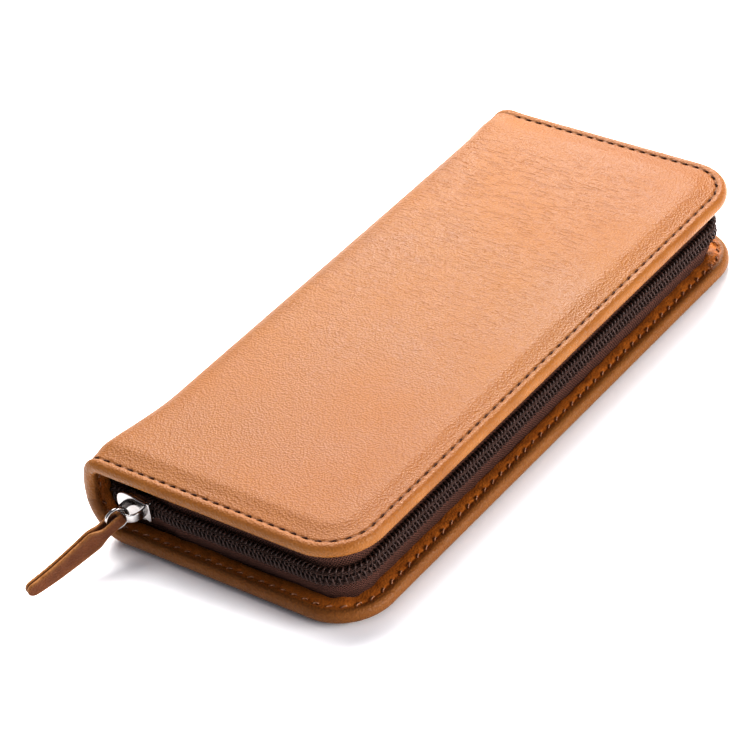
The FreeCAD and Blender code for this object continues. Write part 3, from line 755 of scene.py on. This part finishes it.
def flat_cloth(name, node, material, faces_up):
    """A lining: the frame's panel as a soft sheet with slightly raised middle and rounded, tucked rim."""
    low, high = corners_mm(node)
    size = high - low
    thin = int(np.argmin(size))
    u, v = [i for i in range(3) if i != thin]
    m, n = (max(4, int(size[i] / CLOTH_STEP)) for i in (u, v))
    p, q = np.meshgrid(np.linspace(0, 1, m), np.linspace(0, 1, n), indexing="ij")
    radius = 0.8 if node == "slip_pocket" else 6.0  # of the two corners on the right
    round_off = np.clip(radius - (1 - p) * size[u], 0, radius)
    pull_in = radius - np.sqrt(np.clip(radius**2 - round_off**2, 0, None))
    half = size[v] / 2 - (0.0 if faces_up is None else pull_in)
    place = np.zeros(p.shape + (3,))
    place[..., u] = low[u] + p * size[u]
    place[..., v] = (low[v] + high[v]) / 2 + (2 * q - 1) * half
    rim = ease(np.minimum(np.minimum(p, 1 - p) * size[u], np.minimum(q, 1 - q) * size[v]) / 3.0)
    relief = CLOTH_SWELL * rim * (0.4 + 0.5 * wobble(place[..., u], place[..., v], 9.0, 7))
    sign = 1.0 if faces_up in ("up", None) else -1.0
    outer_face = high[thin] if sign > 0 else low[thin]
    inner_face = low[thin] if sign > 0 else high[thin]
    top = place.copy()
    top[..., thin] = outer_face - sign * 0.15 * (1 - rim) + sign * relief * 0.3
    bottom = place.copy()
    bottom[..., thin] = inner_face
    points = np.concatenate([top.reshape(-1, 3), bottom.reshape(-1, 3)])
    faces = grid_faces(m, n) + [face[::-1] for face in grid_faces(m, n, m * n)]
    grid = np.arange(m * n).reshape(m, n)
    number = np.concatenate([grid[:, 0], grid[-1, 1:], grid[-2::-1, -1], grid[0, -2:0:-1]]).tolist()
    for a, b in zip(number, number[1:] + number[:1]):
        faces.append((a, b, m * n + b, m * n + a))
    piece = make_piece(name, points, faces, material)
    face_outwards(piece)
    return piece


def face_outwards(piece):
    """Turns a closed mesh's faces outwards."""
    work = bmesh.new()
    work.from_mesh(piece.data)
    bmesh.ops.recalc_face_normals(work, faces=work.faces)
    work.to_mesh(piece.data)
    work.free()


PEN_LOOPS = 3
LOOP_RADIUS = 7.0
LOOP_FOOT = 0.9  # flat stretch beside each loop
ELASTIC_HALF = 0.45
ELASTIC_RIBS = 260  # points along the band, high and low by turns


def elastic_loops(material):
    """The elastic band over the pens' places: flat between the loops, ribbed across."""
    low, high = corners_mm("pen_loop_band")
    pitch = (high[0] - low[0]) / PEN_LOOPS
    flat_z, arch_z = low[2] + 0.5, high[2] - 0.5 - LOOP_RADIUS
    line = []
    for i in range(PEN_LOOPS):
        middle = low[0] + pitch * (i + 0.5)
        line.append((middle - pitch / 2, flat_z))
        line.append((middle - LOOP_RADIUS - LOOP_FOOT, flat_z))
        for turn in np.radians(np.linspace(180, 0, 15)):
            line.append((middle + LOOP_RADIUS * math.cos(turn), arch_z + LOOP_RADIUS * math.sin(turn)))
        line.append((middle + LOOP_RADIUS + LOOP_FOOT, flat_z))
    line.append((high[0], flat_z))
    line = resample_line(np.array(line), ELASTIC_RIBS)
    half = (high[1] - low[1]) / 2
    rib = 1 + 0.16 * np.cos(np.arange(ELASTIC_RIBS) * math.pi)
    path = np.stack([line[:, 0], np.zeros(ELASTIC_RIBS), line[:, 1]], -1)
    points, faces = swept_bar(path, half, ELASTIC_HALF * rib, (0, 1, 0), 0.25)
    return make_piece("elastic_pen_loops", points, faces, material)


def resample_line(line, count):
    run = np.concatenate([[0], np.cumsum(np.linalg.norm(np.diff(line, axis=0), axis=1))])
    even = np.linspace(0, run[-1], count)
    return np.stack([np.interp(even, run, line[:, k]) for k in range(line.shape[1])], -1)


def straight_stitches(start, end, pitch=3.3, radius=0.18):
    """A straight row of short stitches between two points."""
    start, end = np.asarray(start, float), np.asarray(end, float)
    count = max(1, int(round(np.linalg.norm(end - start) / pitch)))
    t = np.linspace(0.1, 0.9, 7)
    parts = []
    for i in range(count):
        path = start + (end - start) * ((i + t) / count)[:, None]
        parts.append(tube(path, radius * (1 - 0.5 * np.abs(2 * t - 1) ** 4), (0.1, 0.2, 1.0), sides=6))
    return parts


def pen_loop_stitches(material):
    low, high = corners_mm("pen_loop_thread")
    band_low, band_high = corners_mm("pen_loop_band")
    pitch = (band_high[0] - band_low[0]) / PEN_LOOPS
    z = low[2] + 0.25
    parts = []
    for gap in range(PEN_LOOPS + 1):
        x = np.clip(band_low[0] + pitch * gap, low[0] + 0.3, high[0] - 0.3)
        parts += straight_stitches((x, low[1], z), (x, high[1], z))
    return make_piece("pen_loop_stitches", *joined(parts), material)


def pocket_stitches(material):
    low, high = corners_mm("slip_pocket_thread")
    z = high[2] - 0.1
    corners = [(high[0], low[1], z), (low[0], low[1], z), (low[0], high[1], z), (high[0], high[1], z)]
    parts = []
    for start, end in zip(corners, corners[1:]):
        parts += straight_stitches(start, end)
    return make_piece("pocket_stitches", *joined(parts), material)


# ---- materials


def new_material(name, **shader_values):
    material = bpy.data.materials.new(name)
    material.use_nodes = True
    shader = material.node_tree.nodes["Principled BSDF"]
    for key, value in shader_values.items():
        shader.inputs[key.replace("_", " ")].default_value = value
    return material, material.node_tree, shader


def connect(shader, **outputs):
    """Links each output to the shader's input of that name, with a space for an underscore."""
    for key, output in outputs.items():
        shader.id_data.links.new(output, shader.inputs[key.replace("_", " ")])


def add_node(tree, kind, inputs=(), **settings):
    """A node with its settings, and its inputs as numbers or links."""
    made = tree.nodes.new(kind)
    for key, value in settings.items():
        setattr(made, key, value)
    for key, value in dict(inputs).items():
        if isinstance(value, bpy.types.NodeSocket):
            tree.links.new(value, made.inputs[key])
        else:
            made.inputs[key].default_value = value
    return made


def object_coordinates(tree, scale=(1, 1, 1), turn=(0, 0, 0)):
    place = add_node(tree, "ShaderNodeTexCoord").outputs["Object"]
    values = {"Vector": place, "Scale": scale, "Rotation": turn}
    return add_node(tree, "ShaderNodeMapping", values).outputs[0]


def noise(vector, scale, detail=3.0, roughness=0.5, distortion=0.0):
    names = ("Vector", "Scale", "Detail", "Roughness", "Distortion")
    values = dict(zip(names, (vector, scale, detail, roughness, distortion)))
    return add_node(vector.id_data, "ShaderNodeTexNoise", values).outputs["Fac"]


def ramp(value, stops):
    """Colours between stops, each a place from 0 to 1 and a colour."""
    made = add_node(value.id_data, "ShaderNodeValToRGB", {"Fac": value})
    for element, (place, colour) in zip(made.color_ramp.elements, stops):
        element.position = place
        element.color = (*colour, 1.0)
    return made.outputs["Color"]


def grey_ramp(value, low, high, bottom=0.0, top=1.0):
    values = {"Value": value, "From Min": low, "From Max": high, "To Min": bottom, "To Max": top}
    return add_node(value.id_data, "ShaderNodeMapRange", values).outputs[0]


def mix(factor, a, b):
    """Colour a where the factor is 0 and colour b where it is 1."""
    colours = [value if isinstance(value, bpy.types.NodeSocket) else (*value, 1.0) for value in (a, b)]
    values = dict(zip((0, 6, 7), (factor, *colours)))
    return add_node(factor.id_data, "ShaderNodeMix", values, data_type="RGBA").outputs[2]


def maths(operation, a, b=0.0):
    socket = a if isinstance(a, bpy.types.NodeSocket) else b
    return add_node(socket.id_data, "ShaderNodeMath", {0: a, 1: b}, operation=operation).outputs[0]


def bump(height, strength, distance, below=None):
    values = {"Height": height, "Strength": strength, "Distance": distance}
    if below is not None:
        values["Normal"] = below
    return add_node(height.id_data, "ShaderNodeBump", values).outputs["Normal"]


def attribute(tree, name):
    return add_node(tree, "ShaderNodeAttribute", attribute_name=name).outputs["Fac"]


def leather_grain(tree, shader, strength=1.0):
    """Pebble grain, finer pores and shallow creases that run across the case."""
    plain = object_coordinates(tree)
    cells = add_node(tree, "ShaderNodeTexVoronoi", {"Vector": plain, "Scale": 1900.0}, feature="F1")
    pores = noise(plain, 2100.0, 3.0, 0.6)
    crease = noise(object_coordinates(tree, (0.20, 1.0, 0.20), (0, 0, 0.05)), 1250.0, 1.0, 0.5, 0.3)
    parts = add_node(tree, "ShaderNodeSeparateXYZ", {"Vector": plain}).outputs
    away_from_slider = grey_ramp(parts["Y"], -0.05, 0.05, 0.10)
    away_from_seam = grey_ramp(parts["X"], 0.019, 0.030, 1.0, 0.0)
    away_from_end = grey_ramp(parts["Y"], 0.064, 0.075, 1.0, 0.0)
    furrow = grey_ramp(crease, 0.34, 0.50, 1.0, 0.0)
    for share in (away_from_slider, away_from_seam, away_from_end):
        furrow = maths("MULTIPLY", furrow, share)
    normal = bump(cells.outputs["Distance"], 0.7 * strength, 0.00018)
    normal = bump(maths("SUBTRACT", 1.0, furrow), 0.62 * strength, 0.00014, normal)
    normal = bump(pores, 0.30 * strength, 0.00010, normal)
    normal = bump(noise(plain, 160.0, 2.0), 0.07 * strength, 0.0006, normal)
    connect(shader, Normal=normal)
    return cells.outputs["Distance"], furrow


def cover_leather_material():
    """Vegetable-tanned leather: mottled tan, burnished and deeper on the bead, orange-brown on the hem."""
    material, tree, shader = new_material("tan_leather", Specular_IOR_Level=0.19)
    plain = object_coordinates(tree)
    mottle = noise(plain, 34.0, 4.0, 0.6)
    cloud = noise(plain, 9.0, 2.0)
    body = ramp(mottle, ((0.30, (0.170, 0.065, 0.010)), (0.72, (0.212, 0.089, 0.018))))
    body = mix(grey_ramp(cloud, 0.40, 0.72, 0.0, 0.4), body, (0.20, 0.066, 0.018))
    cells, furrow = leather_grain(tree, shader)
    body = mix(maths("MULTIPLY", furrow, 0.22), body, (0.10, 0.028, 0.006))
    body = mix(grey_ramp(cells, 0.30, 0.65, 0.0, 0.34), body, (0.14, 0.042, 0.012))
    streak = noise(object_coordinates(tree, (1.0, 1.0, 0.4)), 120.0, 3.0)
    bead_tone = ramp(streak, ((0.3, (0.235, 0.088, 0.016)), (0.7, (0.305, 0.128, 0.030))))
    bead = attribute(tree, "bead")
    # The bead tone is brighter than the body; it is weaker on the lower cover, which paints shade on that
    # bead.
    body = mix(maths("MULTIPLY", bead, 0.8), body, bead_tone)
    wrinkle = noise(plain, 420.0, 4.0, 0.65)
    hem_tone = ramp(wrinkle, ((0.32, (0.27, 0.078, 0.008)), (0.68, (0.46, 0.155, 0.022))))
    body = mix(maths("MULTIPLY", attribute(tree, "hem"), 0.95), body, hem_tone)
    # Painted shade: darker at each stitch hole and along the seam's furrow.
    body = mix(maths("MULTIPLY", attribute(tree, "hole"), 0.85), body, (0.05, 0.016, 0.008))
    rough = grey_ramp(mottle, 0.3, 0.7, 0.42, 0.54)
    rough = maths("SUBTRACT", rough, maths("MULTIPLY", bead, 0.17))
    connect(shader, Base_Color=body, Roughness=rough)
    return material


def pull_leather_material():
    """The pull's leather: red-brown faces and a paler, fibrous cut edge."""
    material, tree, shader = new_material("pull_leather", Roughness=0.5, Specular_IOR_Level=0.22)
    plain = object_coordinates(tree)
    mottle = noise(plain, 260.0, 4.0, 0.6)
    fibres = noise(object_coordinates(tree, (1.0, 0.3, 1.0)), 1500.0, 3.0)
    leather_grain(tree, shader, 1.2)
    body = ramp(mottle, ((0.3, (0.105, 0.031, 0.009)), (0.7, (0.155, 0.051, 0.016))))
    cut = ramp(fibres, ((0.3, (0.20, 0.080, 0.018)), (0.7, (0.32, 0.150, 0.050))))
    connect(shader, Base_Color=mix(attribute(tree, "cut_edge"), body, cut))
    return material


def tape_material():
    """Net-like weave of brown threads with dark gaps, from each point's place on the flat tape."""
    material, tree, shader = new_material("brown_tape", Roughness=0.85, Specular_IOR_Level=0.1)
    cloth = add_node(tree, "ShaderNodeAttribute", attribute_name="cloth").outputs["Vector"]
    turned = add_node(tree, "ShaderNodeMapping", {"Vector": cloth, "Rotation": (0, 0, 0.12)}).outputs[0]
    parts = add_node(tree, "ShaderNodeSeparateXYZ", {"Vector": turned})
    warp = maths("SINE", maths("MULTIPLY", parts.outputs["X"], 7.6))
    weft = maths("SINE", maths("MULTIPLY", parts.outputs["Y"], 8.6))
    weave = maths("MULTIPLY", warp, weft)
    fuzz = noise(turned, 9.0, 3.0)
    gap = grey_ramp(maths("ADD", weave, fuzz), 0.75, 1.15)
    thread = ramp(fuzz, ((0.3, (0.060, 0.025, 0.017)), (0.7, (0.150, 0.070, 0.052))))
    tone = mix(gap, thread, (0.008, 0.004, 0.003))
    normal = bump(fuzz, 0.4, 0.0001, bump(weave, 0.7, 0.00022))
    connect(shader, Base_Color=tone, Normal=normal)
    return material


def woven_material(name, colour, light, rib, roughness=0.8):
    """Plain weave for the inside."""
    material, tree, shader = new_material(name, Roughness=roughness, Specular_IOR_Level=0.25)
    plain = object_coordinates(tree)
    values = {"Vector": plain, "Scale": rib, "Distortion": 0.6}
    warp = add_node(tree, "ShaderNodeTexWave", values)
    weft = add_node(tree, "ShaderNodeTexWave", values, bands_direction="Y")
    both = maths("MULTIPLY", warp.outputs["Fac"], weft.outputs["Fac"])
    fuzz = noise(plain, 900.0, 3.0)
    tone = mix(grey_ramp(both, 0.0, 0.9), colour, light)
    tone = mix(grey_ramp(fuzz, 0.4, 0.7, 0.0, 0.35), tone, light)
    normal = bump(fuzz, 0.3, 0.00006, bump(both, 0.6, 0.00015))
    connect(shader, Base_Color=tone, Normal=normal)
    return material


def thread_material(name, colour, light):
    """Twisted thread."""
    material, tree, shader = new_material(name, Roughness=0.7, Specular_IOR_Level=0.12)
    plain = object_coordinates(tree, turn=(0.4, 0.3, 0.7))
    values = {"Vector": plain, "Scale": 700.0, "Distortion": 1.0}
    ply = add_node(tree, "ShaderNodeTexWave", values).outputs["Fac"]
    connect(shader, Base_Color=mix(ply, colour, light), Normal=bump(ply, 0.5, 0.00008))
    return material


def nylon_material():
    material, tree, shader = new_material("brown_nylon", Specular_IOR_Level=0.3)
    plain = object_coordinates(tree)
    patch = noise(plain, 420.0, 3.0)
    tone = ramp(patch, ((0.3, (0.034, 0.016, 0.012)), (0.75, (0.070, 0.037, 0.030))))
    rough = grey_ramp(patch, 0.3, 0.7, 0.30, 0.46)
    normal = bump(noise(plain, 3000.0, 2.0), 0.15, 0.00005)
    connect(shader, Base_Color=tone, Roughness=rough, Normal=normal)
    return material


def nickel_material():
    material, tree, shader = new_material("polished_nickel", Metallic=1.0)
    plain = object_coordinates(tree)
    haze = noise(plain, 260.0, 4.0, 0.6)
    scratch = noise(object_coordinates(tree, (1.0, 0.08, 1.0), (0.2, 0.1, 0.5)), 3200.0, 2.0)
    # The dark base colour is painted reflection: it stands in for the dark surroundings that polished
    # nickel would mirror.
    tone = ramp(haze, ((0.3, (0.30, 0.28, 0.27)), (0.7, (0.46, 0.44, 0.43))))
    rough = grey_ramp(haze, 0.3, 0.7, 0.10, 0.24)
    connect(shader, Base_Color=tone, Roughness=rough, Normal=bump(scratch, 0.06, 0.00003))
    return material


def board_material():
    """Grey-brown pressed board with flecks of fibre."""
    material, tree, shader = new_material("pressed_board", Roughness=0.9, Specular_IOR_Level=0.2)
    plain = object_coordinates(tree)
    fleck = noise(plain, 900.0, 4.0, 0.7)
    tone = ramp(fleck, ((0.35, (0.20, 0.15, 0.11)), (0.7, (0.32, 0.26, 0.20))))
    connect(shader, Base_Color=tone, Normal=bump(fleck, 0.4, 0.0001))
    return material


# ---- floor, light and camera


FLOOR_HALF = 4000.0


def floor():
    material, tree, shader = new_material("floor_white", Roughness=0.9, Specular_IOR_Level=0.1)
    patches = noise(object_coordinates(tree), 3.0)
    tone = ramp(patches, ((0.3, (0.93, 0.93, 0.94)), (0.7, (0.95, 0.95, 0.96))))
    connect(shader, Base_Color=tone)
    corners = [(x * FLOOR_HALF, y * FLOOR_HALF, 0) for x, y in ((-1, -1), (1, -1), (1, 1), (-1, 1))]
    make_piece("floor", corners, [(0, 1, 2, 3)], material, smooth=False)


def area_light(name, place, target, size, power, colour):
    """A rectangular lamp that faces a target."""
    light = bpy.data.lights.new(name, "AREA")
    light.shape = "RECTANGLE"
    light.size, light.size_y = size
    light.energy = power
    light.color = colour
    lamp = bpy.data.objects.new(name, light)
    lamp.location = place
    lamp.rotation_euler = (Vector(target) - Vector(place)).to_track_quat("-Z", "Y").to_euler()
    bpy.context.scene.collection.objects.link(lamp)


def studio():
    """Pale surroundings, a large lamp overhead, one low behind and one low to the right."""
    world = bpy.data.worlds.new("studio")
    bpy.context.scene.world = world
    world.use_nodes = True
    background = world.node_tree.nodes["Background"]
    background.inputs["Color"].default_value = (0.86, 0.89, 1.0, 1.0)
    background.inputs["Strength"].default_value = 0.46
    area_light("overhead", (-0.29, 0.25, 0.79), (0, 0.03, 0), (0.7, 0.7), 22.0, (1.0, 0.99, 0.98))
    area_light("back_window", (-0.33, 0.50, 0.36), (0, 0.09, 0), (0.36, 0.26), 6.6, (1.0, 0.99, 0.98))
    area_light("right_window", (0.78, 0.12, 0.27), (0, 0, 0.01), (0.6, 0.24), 9.5, (1.0, 0.985, 0.97))
    bpy.context.scene.view_settings.view_transform = "Standard"
    bpy.context.scene.view_settings.look = "None"
    bpy.context.scene.view_settings.gamma = 0.8


def camera():
    """Looks down at the case from its near right corner, turned a little about the line of sight."""
    azimuth, elevation, roll = (math.radians(angle) for angle in (42.643, 36.56, -9.623))
    target = Vector((-7.075, -13.398, 12.0)) * MM
    distance = 0.73886
    back = Vector((
        math.sin(azimuth) * math.cos(elevation),
        -math.cos(azimuth) * math.cos(elevation),
        math.sin(elevation),
    ))
    data = bpy.data.cameras.new("camera")
    data.sensor_width = 36.0
    data.lens = 148.572
    eye = bpy.data.objects.new("camera", data)
    eye.location = target + back * distance
    aim = (-back).to_track_quat("-Z", "Y") @ Quaternion((0, 0, 1), roll)
    eye.rotation_euler = aim.to_euler()
    bpy.context.scene.collection.objects.link(eye)
    bpy.context.scene.camera = eye


# ---- the object


def fold_blend(piece):
    """A piece that is half on the spine and half on a cover; only its transform is baked in, and it is
    attached to no body.
    """
    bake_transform(piece)


def stand_in(piece, slot, *nodes):
    """Hides the CAD nodes that a piece replaces, if any. The piece and the slot are not used."""
    if nodes:
        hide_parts(*nodes)


def settle(piece, slot, body, *nodes):
    """A piece that is all on one body."""
    stand_in(piece, slot, *nodes)
    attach(piece, body)


def build_leather():
    tan = cover_leather_material()
    # Painted shade: the needle thread is coloured much darker than the pale bobbin thread, standing in for
    # the shade in each stitch hole that it sinks into.
    needle = thread_material("brown_thread", (0.022, 0.006, 0.003), (0.050, 0.016, 0.008))
    bobbin = thread_material("pale_thread", (0.22, 0.098, 0.052), (0.44, 0.24, 0.145))
    for side in ("lower", "upper"):
        leather = cover_leather(side, tan)
        spine = ["spine_leather"] if side == "upper" else []
        stand_in(leather, "tan_leather", f"{side}_outer_leather", f"{side}_spine_bend", *spine)
        outside = seam_stitches(side, "seam", needle)
        spine = ["spine_end_thread"] if side == "upper" else []
        stand_in(outside, "thread", f"{side}_seam_thread", *spine)
        inside = seam_stitches(side, "hem", bobbin)
        stand_in(inside, "thread")
        for piece in (leather, outside, inside):
            fold_blend(piece)


def build_zip():
    tape = tape_material()
    nylon = nylon_material()
    sewing = thread_material("coil_thread", (0.036, 0.018, 0.013), (0.080, 0.046, 0.038))
    for side in ("lower", "upper"):
        body = f"{side}_cover"
        settle(zip_tape(side, tape), "zip_tape", body, f"{side}_zip_tape")
        settle(zip_coil(side, nylon), "zip_coil", body, f"{side}_zip_coil")
        settle(coil_stitching(side, sewing), "thread", body)


def build_slider_and_pull():
    nickel = nickel_material()
    settle(slider_shell(nickel), "nickel", "slider", "slider_body")
    settle(slider_arch(nickel), "nickel", "slider", "slider_bridge")
    settle(pull_ring(nickel), "nickel", "pull_ring", "pull_ring")
    settle(leather_pull(pull_leather_material()), "strap_leather", "pull_strap", "pull_strap")


def bow_to_spine(piece):
    """Curves the flat cloth of the spine so that it lies against the inner face of the bowed leather."""
    for vertex in piece.data.vertices:
        off = vertex.co.z / MM - CHAIN_Z
        vertex.co.x += MM * off**2 / (2 * CLOTH_BOW)


def show_board(side, material):
    board = frame["nodes"][f"{side}_stiffener_board"]
    board.data.materials.clear()
    board.data.materials.append(material)


def build_inside():
    lining = woven_material("lining_fabric", (0.040, 0.020, 0.012), (0.105, 0.058, 0.036), 420.0)
    rubber = woven_material("elastic_band", (0.018, 0.012, 0.010), (0.060, 0.042, 0.036), 260.0, 0.7)
    thread = thread_material("inner_thread", (0.05, 0.022, 0.012), (0.12, 0.055, 0.032))
    board = board_material()
    for side, faces_up in (("lower", "up"), ("upper", "down")):
        show_board(side, board)
        cloth = flat_cloth(f"{side}_cover_lining", f"{side}_lining", lining, faces_up)
        settle(cloth, "lining_fabric", f"{side}_cover", f"{side}_lining")
    cloth = flat_cloth("spine_cloth", "spine_lining", lining, None)
    bow_to_spine(cloth)
    settle(cloth, "lining_fabric", "spine", "spine_lining")
    pocket = flat_cloth("fabric_slip_pocket", "slip_pocket", lining, "down")
    settle(pocket, "lining_fabric", "upper_cover", "slip_pocket")
    settle(pocket_stitches(thread), "thread", "upper_cover", "slip_pocket_thread")
    settle(elastic_loops(rubber), "elastic", "lower_cover", "pen_loop_band")
    settle(pen_loop_stitches(thread), "thread", "lower_cover", "pen_loop_thread")


floor()
studio()
camera()
build_leather()
build_zip()
build_slider_and_pull()
build_inside()
